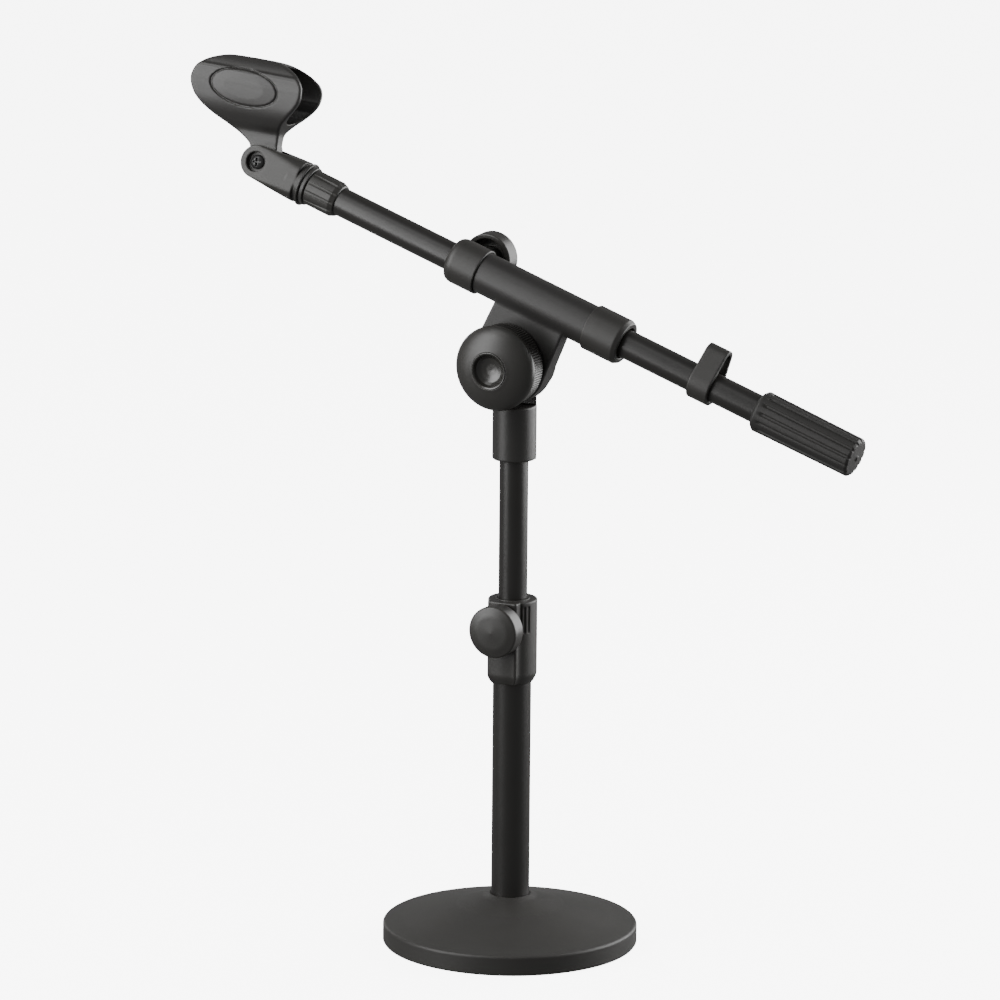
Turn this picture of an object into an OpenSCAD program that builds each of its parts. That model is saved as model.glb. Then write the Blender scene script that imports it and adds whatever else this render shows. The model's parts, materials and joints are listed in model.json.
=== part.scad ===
// Desktop boom microphone stand: round weighted base, telescopic column, tilting boom and spring clip.
// Frame: +Z up, origin at the centre of the base's underside, boom in the XZ plane, microphone end at -X.
// Boom stations are measured along the boom from the tilt pivot, positive towards the hand grip.

/* [Base] */
// Diameter of the round base
base_d = 141; // [130:1:160]
// Height of the base's upright rim
rim_h = 11.5; // [10:0.5:13]
// Height of the base where the column enters it
hub_h = 28; // [26:0.5:30]

/* [Column] */
// Outer diameter of the fixed lower tube
outer_tube_d = 21.2; // [21:0.1:21.4]
// Outer diameter of the sliding upper tube and of the boom
tube_d = 15.9; // [15.7:0.1:16]
// Wall thickness of the upper tube and the boom
tube_wall = 1.2; // [1:0.1:1.4]
// Height of the top of the height clamp
clamp_top = 196.5; // [185:0.5:205]
// Length of the height clamp
clamp_len = 47; // [40:0.5:48]
// Height of the lower end of the pivot socket
socket_z = 275; // [265:1:280]
// Height of the tilt pivot
pivot_z = 330; // [328:1:332]

/* [Boom] */
// Angle of the boom below horizontal at its grip end
boom_tilt = 19.3; // [0:0.1:40]
// Distance from the tilt pivot to the boom's axis
boom_offset = 37.7; // [37.5:0.1:40]
// Diameter of the holder's sleeve
sleeve_d = 23.1; // [22.8:0.1:23.6]
// Diameter of the collars on the sleeve's ends
collar_d = 25.8; // [25.6:0.1:27]
// Station of the grip's free end
boom_end = 204.2; // [200:0.1:215]
// Length of the hand grip
grip_len = 61; // [50:0.5:65]
// Station of the cable clip's middle
cable_clip_s = 109; // [80:1:125]

/* [Knobs] */
// Diameter of the big tilt knob
tilt_knob_d = 47.2; // [44:0.1:48]
// Diameter of the two thumb knobs
thumb_knob_d = 29; // [26:0.5:30]

/* [Microphone clip] */
// Station of the clip's own pivot
head_s = -179.3; // [-185:0.1:-178]
// Turn of the clip base about the boom, its -Y side up
head_roll = 14; // [-30:1:30]
// Angle between the clip's cradle and the boom
clip_tilt = 14.5; // [8:0.5:60]
// Inner diameter of the cradle
cradle_d = 26.4; // [24:0.2:27]

/* [Hidden] */
$fn = 64;

fit = 0.05;            // radial clearance of every running fit
bolt_r = 4;            // M8 bolts in the base and the tilt pivot
screw_r = 3;           // M6 thumb screws
flange_r = 4.4;        // the flange that holds each screw in its knob
flange_h = 3;
flange_z = 3.4;

// Base
base_r = base_d / 2;
pad_t = 1.2;           // rubber sheet under the base
pad_r = base_r - 2;
skirt_z = 0.4;         // the cast rim stops just above the table
rim_round = 1.5;
seat_z = 18;           // foot of the lower tube
bolt_pocket_r = 13;
bolt_pocket_z = 9;
washer_t = 1.5;
bolt_head_h = 5.3;
plug_h = 12;
bolt_shank = 22;

// Column
outer_r = outer_tube_d / 2;
outer_in = outer_r - 1.5;
tube_r = tube_d / 2;
tube_in = tube_r - tube_wall;
outer_top = clamp_top - 8.5;
clamp_z = clamp_top - clamp_len;
clamp_r = 13.6;
block_half = 9;        // half-width of the clamp's front block
block_y = 13.5;        // how far that block stands in front of the column's axis
lead_in = 2.2;         // the clamp's foot draws in by this much
lead_h = 4.2;          // over this height
clamp_knob_z = clamp_top - 14.5;
clamp_knob_y = 14.95;  // rear rim of the height knob
pad_face = 9.85;       // how near the thumb screws' ends come to the tube's axis
bush_lip_r = 9.6;
bush_z = clamp_top - 30.5;
guide_z = 106;          // underside of the guide bush at rest
guide_h = 21.5;
socket_r = 12.05;
shelf_z = pivot_z - 24.5;
tube_top = socket_z + 25;
pin_z = socket_z + 10;

// Tilt joint, as distances from the column's axis along Y
bracket_r = 22.8;
plate_front = -9;
plate_back = 2.5;
friction_t = 1.2;
ear_front = plate_back + fit + friction_t;
ear_back = 10.3;
ear_r = 20.5;
thrust_t = 1.1;
thrust_front = plate_front - fit - thrust_t;
tilt_bolt_end = -22;
cap_r = 9.5;
cap_seat = 26;         // floor of the tilt knob's recess

// Boom holder
sleeve_r = sleeve_d / 2;
sleeve_in = 8.9;
collar_r = collar_d / 2;
sleeve_from = -50;
sleeve_to = 54;
plate_left = -18;      // the plate's top corner on the microphone side
plate_right = 25.2;    // and on the grip side
front_collar_from = -53.7;
front_collar_to = -33.9;
rear_collar_from = 36.3;
rear_collar_to = 58;
lock_s = -43;          // station of the boom's lock screw
lock_insert_from = 12.6;
lock_boss_y = 18.5;
lock_knob_y = 20;      // near rim of the lock knob

// Boom
boom_from = -130;
stud_from = -163;
nut_from = -146.7;
nut_to = -127.5;
nut_washer_from = -149.3;
thread_r = 7.85;       // 5/8 inch stand thread, as a plain cylinder
grip_from = boom_end - grip_len;
cable_clip_w = 12.8;
cable_loop_z = 16;     // height of the loop's top bend above the boom's axis
cable_lean = 13;       // the loop leans back towards +Y

// Microphone clip, in its own frame: X along the cradle, Y along the pivot, Z up
base_half = 10.5;      // half-width of the clip base
ear_gap = 4.75;        // half-width of the slot between its ears
tongue_half = 4;
clevis_r = 9.3;
slot_end = 14;
collar_start = 26.1;
clip_base_end = nut_washer_from - fit - head_s;
cradle_r = cradle_d / 2;
cradle_wall = 2.8;
cradle_x = -11.5;      // middle of the cradle
cradle_z = 42.4;       // height of the cradle's axis above the pivot
cradle_half = 33.5;
relief_z = 23.4;       // bottom of the throat under the cradle
relief_half = 1.8;
mouth_half = 6.6;      // half-width of the opening above the microphone
pivot_screw_r = 2.5;

// ---------- helpers ----------

// Cylinder along Y between two Y values
module rod_y(r, from, to) {
    translate([0, from, 0])
        rotate([-90, 0, 0])
            cylinder(r = r, h = to - from);
}

// Straight tube along Z
module pipe(r_out, r_in, h) {
    difference() {
        cylinder(r = r_out, h = h);
        translate([0, 0, -1])
            cylinder(r = r_in, h = h + 2);
    }
}

// Outline around two circles, the second circle d above the first
module tapered_link(r1, r2, d) {
    hull() {
        circle(r = r1, $fn = 32);
        translate([0, d])
            circle(r = r2, $fn = 32);
    }
}

// Frame of the tilting head: origin at the pivot, X along the boom, Z up from it
module on_tilt() {
    translate([0, 0, pivot_z])
        rotate([0, boom_tilt, 0])
            children();
}

// Frame on the boom's axis at a station, Z along the boom
module on_boom(s) {
    on_tilt()
        translate([s, 0, boom_offset])
            rotate([0, 90, 0])
                children();
}

// Frame of the clip base: origin at its pivot, X along the boom, Y along the pivot screw
module on_head() {
    on_tilt()
        translate([head_s, 0, boom_offset])
            rotate([-head_roll, 0, 0])
                children();
}

// Frame of the clip itself
module on_clip() {
    on_head()
        rotate([0, -clip_tilt, 0])
            children();
}

// Thumb knob, hollow at the back: Z is its axis and Z = 0 its rear rim
module thumb_knob_shape() {
    r = thumb_knob_d / 2;
    rotate_extrude()
        polygon([
            [screw_r, 0.6], [6, 0.6], [6, 7.4], [r - 3.4, 7.4], [r - 3, 0], [r - 1, 0], [r, 1],
            [r, 8.8], [r - 0.5, 9.7], [r - 1.4, 10.3], [r / 2, 11.5], [0, 12],
            [0, flange_z + flange_h], [flange_r, flange_z + flange_h],
            [flange_r, flange_z], [screw_r, flange_z]
        ]);
}

// Screw moulded into a thumb knob, reaching down to Z = -reach
module thumb_screw_shape(reach) {
    translate([0, 0, -reach])
        cylinder(r = screw_r - fit, h = reach + flange_z + 1);
    translate([0, 0, flange_z + 0.02])
        cylinder(r = flange_r - 0.02, h = flange_h - 0.04);
}

// ---------- base ----------

module base_plate() {
    top_steps = 8;
    foot_r = outer_r + 1.2;
    slope_r = base_r - rim_round;
    // The top sweeps up to the column in a shallow hollow curve
    top_curve = [
        for (i = [0 : top_steps])
            let (t = i / top_steps)
            [slope_r + (foot_r - slope_r) * t, rim_h + (hub_h - rim_h) * (0.8 * t + 0.2 * t * t)]
    ];
    rim_curve = [
        for (a = [0 : 30 : 60])
            [slope_r + rim_round * cos(a), rim_h - rim_round + rim_round * sin(a)]
    ];
    color("dimgray")
        rotate_extrude($fn = 128)
            polygon(concat(
                [[pad_r + 0.3, skirt_z], [base_r - 1, skirt_z], [base_r, skirt_z + 1]],
                rim_curve,
                top_curve,
                [
                    [outer_r + fit, hub_h - 1.2], [outer_r + fit, seat_z], [bolt_r + 0.2, seat_z],
                    [bolt_r + 0.2, bolt_pocket_z], [bolt_pocket_r, bolt_pocket_z],
                    [bolt_pocket_r, pad_t], [pad_r + 0.3, pad_t]
                ]
            ));
}

module base_pad() {
    color("black")
        cylinder(r = pad_r, h = pad_t, $fn = 128);
}

module base_bolt() {
    head_top = bolt_pocket_z - washer_t;
    color("silver") {
        translate([0, 0, head_top - bolt_head_h])
            cylinder(r = 7.5, h = bolt_head_h, $fn = 6);
        translate([0, 0, head_top])
            cylinder(r = bolt_r - fit, h = bolt_shank);
    }
}

module base_washer() {
    color("silver")
        translate([0, 0, bolt_pocket_z - washer_t])
            pipe(9, bolt_r + 0.2, washer_t);
}

module tube_foot_plug() {
    color("gainsboro")
        translate([0, 0, seat_z])
            pipe(outer_in - 0.02, bolt_r, plug_h);
}

module outer_tube() {
    color("#2b2b2b")
        difference() {
            translate([0, 0, seat_z])
                pipe(outer_r, outer_in, outer_top - seat_z);
            translate([0, 0, clamp_knob_z])
                rod_y(3.6, -outer_r - 1, 0);
        }
}

// ---------- height clamp ----------

// Side view of the clamp's front block, its foot drawn in by 2.2 mm
module block_profile(half) {
    polygon([
        [-half, lead_h], [-half + lead_in, 0], [half - lead_in, 0], [half, lead_h],
        [half, clamp_len - 1], [half - 1, clamp_len], [-half + 1, clamp_len], [-half, clamp_len - 1]
    ]);
}

module height_clamp() {
    color("#303030")
        difference() {
            union() {
                translate([0, 0, clamp_z])
                    rotate_extrude()
                        polygon([
                            [0, 0], [clamp_r - lead_in, 0], [clamp_r, lead_h], [clamp_r, clamp_len - 0.8],
                            [clamp_r - 0.8, clamp_len], [0, clamp_len]
                        ]);
                // Front block: its front view and its side view, shared, without the rear half
                intersection() {
                    translate([0, 0, clamp_z])
                        rotate([90, 0, 0])
                            linear_extrude(block_y)
                                block_profile(block_half);
                    translate([-block_half, 0, clamp_z])
                        rotate([90, 0, 90])
                            linear_extrude(2 * block_half)
                                block_profile(block_y);
                }
                translate([0, 0, clamp_knob_z])
                    rod_y(8.6, -clamp_knob_y + 0.5, 0);
            }
            translate([0, 0, clamp_z - 1])
                cylinder(r = outer_r + 0.02, h = clamp_len - 4.5);
            translate([0, 0, clamp_z])
                cylinder(r = bush_lip_r, h = clamp_len + 1);
            translate([0, 0, clamp_knob_z])
                rod_y(4.6, -clamp_knob_y - 1, -block_half);
            // Flex seam beside the front block, in the upper part only
            rotate([0, 0, -47])
                translate([clamp_r - 1.2, -0.5, clamp_knob_z - 6])
                    cube([3, 1, clamp_len]);
        }
}

module clamp_bush() {
    color("#1c1c1c")
        difference() {
            rotate_extrude()
                polygon([
                    [tube_r + fit, bush_z], [outer_in - 0.02, bush_z], [outer_in - 0.02, outer_top],
                    [outer_r - 0.1, outer_top], [outer_r - 0.1, outer_top + 2.9],
                    [bush_lip_r - 0.02, outer_top + 2.9], [bush_lip_r - 0.02, clamp_top - 0.2],
                    [bush_lip_r - 0.5, clamp_top + 0.3], [tube_r + 0.6, clamp_top + 0.3],
                    [tube_r + fit, clamp_top - 0.3]
                ]);
            translate([0, 0, clamp_knob_z])
                rod_y(3.3, -outer_r, 0);
        }
}

module height_insert() {
    color("goldenrod")
        translate([0, 0, clamp_knob_z])
            difference() {
                rod_y(4.58, -clamp_knob_y + 0.7, -outer_r - 0.2);
                rod_y(screw_r, -clamp_knob_y, -outer_r);
            }
}

module height_pad() {
    color("goldenrod")
        translate([0, 0, clamp_knob_z])
            rod_y(2.8, -pad_face, -tube_r - 0.1);
}

module height_screw() {
    color("silver")
        translate([0, -clamp_knob_y, clamp_knob_z])
            rotate([90, 0, 0])
                thumb_screw_shape(clamp_knob_y - pad_face);
}

module height_knob() {
    color("#2e2e2e")
        translate([0, -clamp_knob_y, clamp_knob_z])
            rotate([90, 0, 0])
                thumb_knob_shape();
}

// ---------- sliding column ----------

module guide_bush() {
    color("#d8d8d0")
        rotate_extrude()
            polygon([
                [5, guide_z], [outer_in - fit, guide_z], [outer_in - fit, guide_z + guide_h],
                [tube_r + fit, guide_z + guide_h], [tube_r + fit, guide_z + 1.5 - fit],
                [5, guide_z + 1.5 - fit]
            ]);
}

module inner_tube() {
    from = guide_z + 1.5;
    color("#2b2b2b")
        translate([0, 0, from])
            pipe(tube_r, tube_in, tube_top - from);
}

module pivot_socket() {
    color("#303030")
        difference() {
            union() {
                rotate_extrude()
                    polygon([
                        [0, socket_z], [socket_r - 1.2, socket_z], [socket_r - 0.35, socket_z + 0.35],
                        [socket_r, socket_z + 1.2], [socket_r, shelf_z - 0.6], [socket_r - 0.6, shelf_z],
                        [0, shelf_z]
                    ]);
                // Ear behind the bracket, standing on the rear half of the socket
                translate([0, ear_back, pivot_z])
                    rotate([90, 0, 0])
                        linear_extrude(ear_back - ear_front)
                            circle(r = ear_r);
                intersection() {
                    translate([0, 0, shelf_z - 1])
                        cylinder(r = socket_r, h = 13);
                    translate([-socket_r, ear_front, 0])
                        cube([2 * socket_r, socket_r, pivot_z]);
                }
            }
            translate([0, 0, socket_z - 1])
                cylinder(r = tube_r + 0.02, h = tube_top - socket_z + 1);
            translate([0, 0, pivot_z])
                rod_y(bolt_r, ear_front - 1, ear_back + 1);
            translate([0, 0, pin_z])
                rod_y(1.5, 0, socket_r + 1);
        }
}

module socket_pin() {
    color("silver")
        translate([0, 0, pin_z])
            rod_y(1.48, tube_r + 0.02, socket_r - 0.4);
}

module friction_washer() {
    color("#222222")
        translate([0, 0, pivot_z])
            difference() {
                rod_y(18, plate_back + fit, ear_front);
                rod_y(bolt_r + 0.1, plate_back, ear_front + 1);
            }
}

module tilt_bolt() {
    color("silver")
        translate([0, 0, pivot_z]) {
            rod_y(bolt_r - fit, tilt_bolt_end, ear_back);
            translate([0, ear_back, 0])
                rotate([-90, 0, 0])
                    rotate_extrude()
                        polygon([[0, 0], [8.5, 0], [8.5, 1.2], [7.6, 2.6], [5.4, 3.7], [0, 4.2]]);
        }
}

module thrust_washer() {
    color("silver")
        translate([0, 0, pivot_z])
            difference() {
                rod_y(12, thrust_front, plate_front - fit);
                rod_y(bolt_r + fit, thrust_front - 1, plate_front + 1);
            }
}

module tilt_knob() {
    r = tilt_knob_d / 2;
    back = -thrust_front + fit;
    widest = 23.5;         // distance of the widest circle from the column's axis
    dome = 9.5;
    dish_r = cap_r + 0.3;
    insert_end = 22.8;
    front_curve = [
        for (a = [-10 : 10 : 60])
            [r * cos(a), widest + dome * sin(a)]
    ];
    color("#2a2a2a")
        translate([0, 0, pivot_z])
            rotate([90, 0, 0])
                rotate_extrude($fn = 96)
                    polygon(concat(
                        [
                            [7, back], [r - 1.6, back], [r - 1, back + 0.6], [r - 1, widest - 2.6]
                        ],
                        front_curve,
                        [
                            [dish_r + 0.6, widest + dome * 0.9], [dish_r, widest + dome * 0.88],
                            [dish_r, cap_seat], [0, cap_seat], [0, insert_end], [7, insert_end]
                        ]
                    ));
}

// Glossy dished cap pressed into the knob's recess
module tilt_knob_cap() {
    rim = cap_seat + 4.2;
    color("#202020")
        translate([0, 0, pivot_z])
            rotate([90, 0, 0])
                rotate_extrude()
                    polygon([
                        [0, cap_seat + 0.02], [cap_r, cap_seat + 0.02],
                        [cap_r, rim], [cap_r - 0.5, rim + 0.4],
                        [cap_r - 1.2, rim + 0.2], [cap_r - 2.4, rim - 1.2], [4, rim - 2.3], [0, rim - 2.6]
                    ]);
}

module tilt_knob_insert() {
    color("goldenrod")
        translate([0, 0, pivot_z])
            difference() {
                rod_y(6.98, -22.8, -11);
                rod_y(bolt_r, -22.7, -10);
            }
}

// ---------- boom holder ----------

module boom_bracket() {
    color("#303030")
        difference() {
            union() {
                on_tilt()
                    translate([0, plate_back, 0])
                        rotate([90, 0, 0])
                            linear_extrude(plate_back - plate_front) {
                                circle(r = bracket_r, $fn = 96);
                                polygon([
                                    [bracket_r * cos(4), -bracket_r * sin(4)], [plate_right, boom_offset],
                                    [plate_left, boom_offset], [-bracket_r * cos(8), bracket_r * sin(8)]
                                ]);
                            }
                on_boom(sleeve_from)
                    cylinder(r = sleeve_r, h = sleeve_to - sleeve_from);
            }
            on_boom(sleeve_from - 1)
                cylinder(r = sleeve_in, h = sleeve_to - sleeve_from + 2);
            on_tilt()
                rod_y(bolt_r, plate_front - 1, plate_back + 1);
            on_tilt()
                translate([lock_s, 0, boom_offset])
                    rod_y(3.3, 0, sleeve_r + 1);
        }
}

module front_collar() {
    len = front_collar_to - front_collar_from;
    cap = sleeve_from - front_collar_from;
    color("#262626")
        difference() {
            union() {
                on_boom(front_collar_from)
                    rotate_extrude()
                        polygon([
                            [8.5, 0], [collar_r - 2.4, 0], [collar_r - 0.9, 0.7], [collar_r - 0.2, 1.8],
                            [collar_r, 3.2], [collar_r, len - 0.4], [collar_r - 0.4, len],
                            [sleeve_r + 0.02, len], [sleeve_r + 0.02, cap], [8.5, cap]
                        ]);
                on_tilt()
                    translate([lock_s, 0, boom_offset])
                        rod_y(7.4, sleeve_r + 0.6, lock_boss_y);
            }
            on_tilt()
                translate([lock_s, 0, boom_offset]) {
                    rod_y(3.3, 0, lock_boss_y);
                    rod_y(4.6, lock_insert_from, lock_boss_y + 1);
                }
        }
}

module rear_collar() {
    len = rear_collar_to - rear_collar_from;
    seat = sleeve_to - rear_collar_from;
    lip_r = 9;
    color("#262626")
        on_boom(rear_collar_from)
            rotate_extrude()
                polygon([
                    [sleeve_r + 0.02, 0], [collar_r - 0.4, 0], [collar_r, 0.4], [collar_r, len - 3],
                    [collar_r - 0.2, len - 1.7], [collar_r - 0.8, len - 0.6], [collar_r - 1.6, len],
                    [lip_r + 0.5, len], [lip_r, len - 0.5],
                    [lip_r, seat + 0.02], [sleeve_r + 0.02, seat + 0.02]
                ]);
}

module lock_insert() {
    color("goldenrod")
        on_tilt()
            translate([lock_s, 0, boom_offset])
                difference() {
                    rod_y(4.58, lock_insert_from + 0.02, lock_boss_y - 0.2);
                    rod_y(screw_r, lock_insert_from, lock_boss_y);
                }
}

module lock_pad() {
    color("goldenrod")
        on_tilt()
            translate([lock_s, 0, boom_offset])
                rod_y(2.8, tube_r + 0.1, pad_face);
}

module lock_screw() {
    color("silver")
        on_tilt()
            translate([lock_s, lock_knob_y, boom_offset])
                rotate([-90, 0, 0])
                    thumb_screw_shape(lock_knob_y - pad_face);
}

module lock_knob() {
    color("#2e2e2e")
        on_tilt()
            translate([lock_s, lock_knob_y, boom_offset])
                rotate([-90, 0, 0])
                    thumb_knob_shape();
}

// ---------- boom ----------

module boom_liner() {
    color("#d8d8d0")
        on_boom(-30)
            pipe(sleeve_in - fit, tube_r + fit, 80);
}

module boom_tube() {
    color("#2b2b2b")
        on_boom(boom_from)
            pipe(tube_r, tube_in, boom_end - 3 - boom_from);
}

module boom_grip() {
    flutes = 14;
    r_in = 11.65;
    r_end = 11.1;
    flute_r = 1.1;
    color("#2a2a2a")
        on_boom(grip_from)
            difference() {
                rotate_extrude()
                    polygon([
                        [tube_r + 0.02, 0], [r_in - 1.6, 0], [r_in - 0.5, 0.6], [r_in, 1.8],
                        [r_end, grip_len - 1.4], [r_end - 0.5, grip_len - 0.4], [r_end - 1.4, grip_len],
                        [1.4, grip_len + 0.5], [1.2, grip_len + 1], [0, grip_len + 1],
                        [0, grip_len - 3], [tube_r + 0.02, grip_len - 3]
                    ]);
                for (i = [0 : flutes - 1])
                    rotate([0, 0, i * 360 / flutes])
                        translate([r_in, 0, 5])
                            rotate([0, -0.5, 0])
                                cylinder(r = flute_r, h = grip_len, $fn = 24);
            }
}

module boom_end_plug() {
    plug_len = 40;
    color("silver")
        on_boom(boom_end - 3 - plug_len)
            cylinder(r = tube_in - 0.02, h = plug_len);
}

module boom_stud() {
    color("silver")
        on_boom(stud_from) {
            cylinder(r = thread_r, h = boom_from - stud_from);
            translate([0, 0, boom_from - stud_from])
                cylinder(r = tube_in - 0.02, h = 25);
        }
}

module cable_clip() {
    wall = 2.5;
    top_r = 5.7;
    color("#242424")
        on_tilt()
            translate([cable_clip_s - cable_clip_w / 2, 0, boom_offset])
                rotate([90, 0, 90])
                    rotate([0, 0, -cable_lean])
                        difference() {
                            linear_extrude(cable_clip_w)
                                tapered_link(tube_r + wall, top_r, cable_loop_z);
                            translate([0, 0, -1])
                                cylinder(r = tube_r + fit, h = cable_clip_w + 2);
                            translate([0, 0, -1])
                                linear_extrude(cable_clip_w + 2)
                                    translate([0, 5])
                                        tapered_link(6, top_r - wall, cable_loop_z - 5);
                        }
}

// ---------- clip end ----------

module nut_washer() {
    color("#3a3a3a")
        on_boom(nut_washer_from)
            pipe(11, tube_r + fit, nut_from - fit - nut_washer_from);
}

module lock_nut() {
    ribs = 12;
    r = 10.1;
    len = nut_to - nut_from;
    color("#262626")
        on_boom(nut_from)
            difference() {
                rotate_extrude()
                    polygon([
                        [tube_r + fit, 0], [r - 0.3, 0], [r, 0.4], [r, len - 3],
                        [r - 1.3, len], [tube_r + fit, len]
                    ]);
                for (i = [0 : ribs - 1])
                    rotate([0, 0, (i + 0.5) * 360 / ribs])
                        translate([r + 0.5, 0, 2.4])
                            cylinder(r = 1.1, h = len);
            }
}

module clip_base() {
    end_r = 12.4;
    corner_r = 14.1;
    color("#333333")
        on_head()
            difference() {
                union() {
                    intersection() {
                        // Side profile: round at the pivot, deeper towards the boom
                        translate([0, base_half, 0])
                            rotate([90, 0, 0])
                                linear_extrude(2 * base_half) {
                                    circle(r = clevis_r);
                                    polygon([
                                        [0, clevis_r], [collar_start, end_r - 0.6],
                                        [collar_start, -end_r + 0.6], [0, -clevis_r]
                                    ]);
                                }
                        // Rounds the corners towards the boom
                        translate([-clevis_r - 1, 0, 0])
                            rotate([0, 90, 0])
                                cylinder(r1 = corner_r + 0.5, r2 = end_r, h = clevis_r + 1 + collar_start);
                    }
                    translate([collar_start - 0.5, 0, 0])
                        rotate([0, 90, 0])
                            rotate_extrude()
                                polygon([
                                    [0, 0], [10.6, 0], [10.6, 2.9], [end_r - 0.5, 2.9], [end_r, 3.4],
                                    [end_r - 0.4, clip_base_end - collar_start + 0.5],
                                    [0, clip_base_end - collar_start + 0.5]
                                ]);
                }
                // Slot for the clip's tongue
                translate([-clevis_r - 2, -ear_gap, -20])
                    cube([clevis_r + 2 + slot_end, 2 * ear_gap, 40]);
                translate([stud_from - head_s - 0.3, 0, 0])
                    rotate([0, 90, 0])
                        cylinder(r = 9.6, h = 30);
                rod_y(pivot_screw_r + 0.05, -base_half - 1, base_half + 1);
                rod_y(5.6, -base_half - 1, -7.4);
                translate([0, base_half + 1, 0])
                    rotate([90, 30, 0])
                        cylinder(r = 4.9, h = 4.1, $fn = 6);
            }
}

module clip_thread_insert() {
    color("goldenrod")
        on_head()
            translate([stud_from - head_s - 0.28, 0, 0])
                rotate([0, 90, 0])
                    pipe(9.58, thread_r + fit, clip_base_end - (stud_from - head_s) - 0.2);
}

// Side outline of the clip: an oval cradle wall on a neck that leans back over the pivot
module clip_side() {
    translate([cradle_x, cradle_z - 0.6])
        scale([1, 0.5])
            circle(r = cradle_half, $fn = 96);
    polygon([
        [-8.6, 3], [-7, 9.4], [-15.3, 14], [-22, 17.8], [-31.5, 22.6], [-38.6, 27.6], [-42.8, 32.6],
        [-44, 37], [-30, 42], [10, 42], [20.6, 37.4], [18, 31.4], [14.4, 26.8], [10.8, 22.6],
        [8.6, 18], [8.6, 11.5], [8.6, 3]
    ]);
}

// Section across the clip under its round part: egg-shaped walls on a narrow neck
module belly() {
    r_out = cradle_r + cradle_wall;
    right = [
        [4, 8], [4.3, 15], [5.2, 17.4], [8.6, 20.4], [12, 24.8],
        [14.2, 29.6], [15.5, 35], [r_out - 0.04, 39.6], [r_out, cradle_z]
    ];
    left = [for (i = [len(right) - 1 : -1 : 0]) [-right[i][0], right[i][1]]];
    polygon(concat(right, left));
}

// The hollow between those walls
module throat() {
    right = [
        [relief_half, relief_z], [6.2, 24.6], [9.6, 27.8], [11.4, 31.6],
        [cradle_r * sin(66), cradle_z - cradle_r * cos(66)]
    ];
    left = [for (i = [len(right) - 1 : -1 : 0]) [-right[i][0], right[i][1]]];
    polygon(concat(right, left));
}

module mic_clip() {
    r_out = cradle_r + cradle_wall;
    reach = cradle_half + 8;
    color("#2c2c2c")
        on_clip()
            difference() {
                union() {
                    // Cradle and neck, cut to the side outline
                    intersection() {
                        translate([0, r_out + 1, 0])
                            rotate([90, 0, 0])
                                linear_extrude(2 * r_out + 2)
                                    clip_side();
                        union() {
                            translate([cradle_x - reach, 0, cradle_z])
                                rotate([0, 90, 0])
                                    cylinder(r = r_out, h = 2 * reach);
                            translate([cradle_x - reach, 0, 0])
                                rotate([90, 0, 90])
                                    linear_extrude(2 * reach)
                                        belly();
                        }
                    }
                    // Tongue between the ears of the clip base
                    rod_y(clevis_r - 0.3, -tongue_half, tongue_half);
                    translate([-7, -tongue_half, 3])
                        cube([15.5, 2 * tongue_half, 9]);
                }
                // Bore for the microphone, open at the top, running down into a throat
                translate([cradle_x - reach - 1, 0, cradle_z])
                    rotate([0, 90, 0])
                        cylinder(r = cradle_r, h = 2 * reach + 2);
                translate([cradle_x - reach - 1, -mouth_half, cradle_z])
                    cube([2 * reach + 2, 2 * mouth_half, 30]);
                translate([cradle_x - reach - 1, 0, 0])
                    rotate([90, 0, 90])
                        linear_extrude(2 * reach + 2)
                            throat();
                rod_y(pivot_screw_r + fit, -tongue_half - 1, tongue_half + 1);
            }
}

module clip_pivot_screw() {
    head_r = 4.2;
    color("silver")
        on_head()
            difference() {
                union() {
                    rod_y(pivot_screw_r, -7.4, 9.6);
                    translate([0, -7.4, 0])
                        rotate([90, 0, 0])
                            rotate_extrude()
                                polygon([
                                    [0, 0], [head_r, 0], [head_r, 0.9], [head_r - 0.8, 1.8], [0, 2.2]
                                ]);
                }
                for (turn = [0, 90])
                    rotate([0, turn + 20, 0])
                        translate([-2.3, -10, -0.5])
                            cube([4.6, 1.9, 1]);
            }
}

module clip_pivot_nut() {
    color("silver")
        on_head()
            difference() {
                translate([0, 10.1, 0])
                    rotate([90, 30, 0])
                        cylinder(r = 4.8, h = 2.6, $fn = 6);
                rod_y(pivot_screw_r, 7, 11);
            }
}

module clip_pivot_washers() {
    color("#d8d8d0")
        on_head()
            for (side = [-1, 1])
                translate([0, side * (ear_gap - 0.3), 0])
                    difference() {
                        rod_y(7.5, -0.3, 0.3);
                        rod_y(pivot_screw_r + 0.1, -1, 1);
                    }
}

base_plate();
base_pad();
base_bolt();
base_washer();
tube_foot_plug();
outer_tube();
height_clamp();
clamp_bush();
height_insert();
height_pad();
height_screw();
height_knob();
guide_bush();
inner_tube();
pivot_socket();
socket_pin();
friction_washer();
tilt_bolt();
thrust_washer();
tilt_knob();
tilt_knob_cap();
tilt_knob_insert();
boom_bracket();
front_collar();
rear_collar();
lock_insert();
lock_pad();
lock_screw();
lock_knob();
boom_liner();
boom_tube();
boom_grip();
boom_end_plug();
boom_stud();
cable_clip();
nut_washer();
lock_nut();
clip_base();
clip_thread_insert();
mic_clip();
clip_pivot_screw();
clip_pivot_nut();
clip_pivot_washers();
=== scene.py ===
"""Desktop boom microphone stand: the looks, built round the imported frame.

Sizes inside a piece are millimetres in that piece's own place, and become metres when the mesh is made.
"""

import json
import math

import bpy
import numpy as np
import openvdb
from mathutils import Matrix, Vector

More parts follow.
